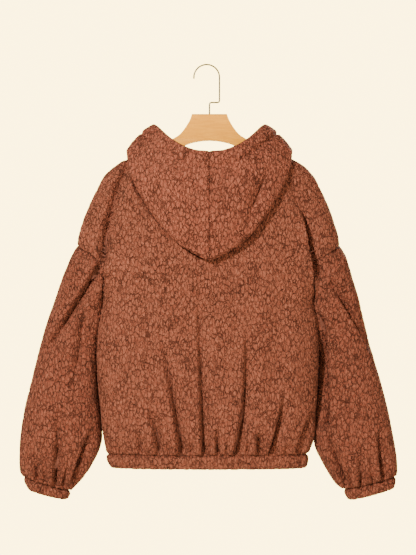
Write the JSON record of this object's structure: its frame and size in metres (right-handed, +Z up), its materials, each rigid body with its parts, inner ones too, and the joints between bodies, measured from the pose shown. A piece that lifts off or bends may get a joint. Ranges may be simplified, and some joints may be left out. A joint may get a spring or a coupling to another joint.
{
  "type": "sherpa jacket on wooden hanger",
  "caption": "Hooded sherpa jacket with drop shoulders, balloon sleeves and elasticated cuffs and hem, zipped shut on a flat wooden hanger with a wire hook.",
  "frame": {"origin": "inside of the hook's top, where a rail bears", "axes": "+Z up; the jacket's back faces -Y and its zip +Y; +X is to the right of someone who looks at its back"},
  "size_m": [0.7741, 0.231, 0.8952],
  "materials": {
    "body": "curly sherpa pile",
    "hood": "curly sherpa pile",
    "sleeve": "curly sherpa pile",
    "tape": "woven zip tape",
    "zip metal": "dull brass",
    "wood": "clear satin varnish",
    "wire": "bright plated wire"
  },
  "bodies": {
    "jacket": {"back": "body", "cuff_left": "sleeve", "cuff_right": "sleeve", "front_left": "body", "front_right": "body", "hanger": "wood", "hem_band": "body", "hood_left": "hood", "hood_right": "hood", "hook": "wire", "sleeve_left": "sleeve", "sleeve_right": "sleeve", "zip_slider": "zip metal", "zip_tape_left": "tape", "zip_tape_right": "tape"},
    "pull_tab": {"pull_tab": "zip metal"}
  },
  "joints": [
    {"name": "pull_tab_hinge", "type": "hinge", "parent": "jacket", "child": "pull_tab", "pos_m": [0.0057, 0.04775, -0.245], "axis": [1, 0, 0], "range_deg": [0, 150]}
  ]
}
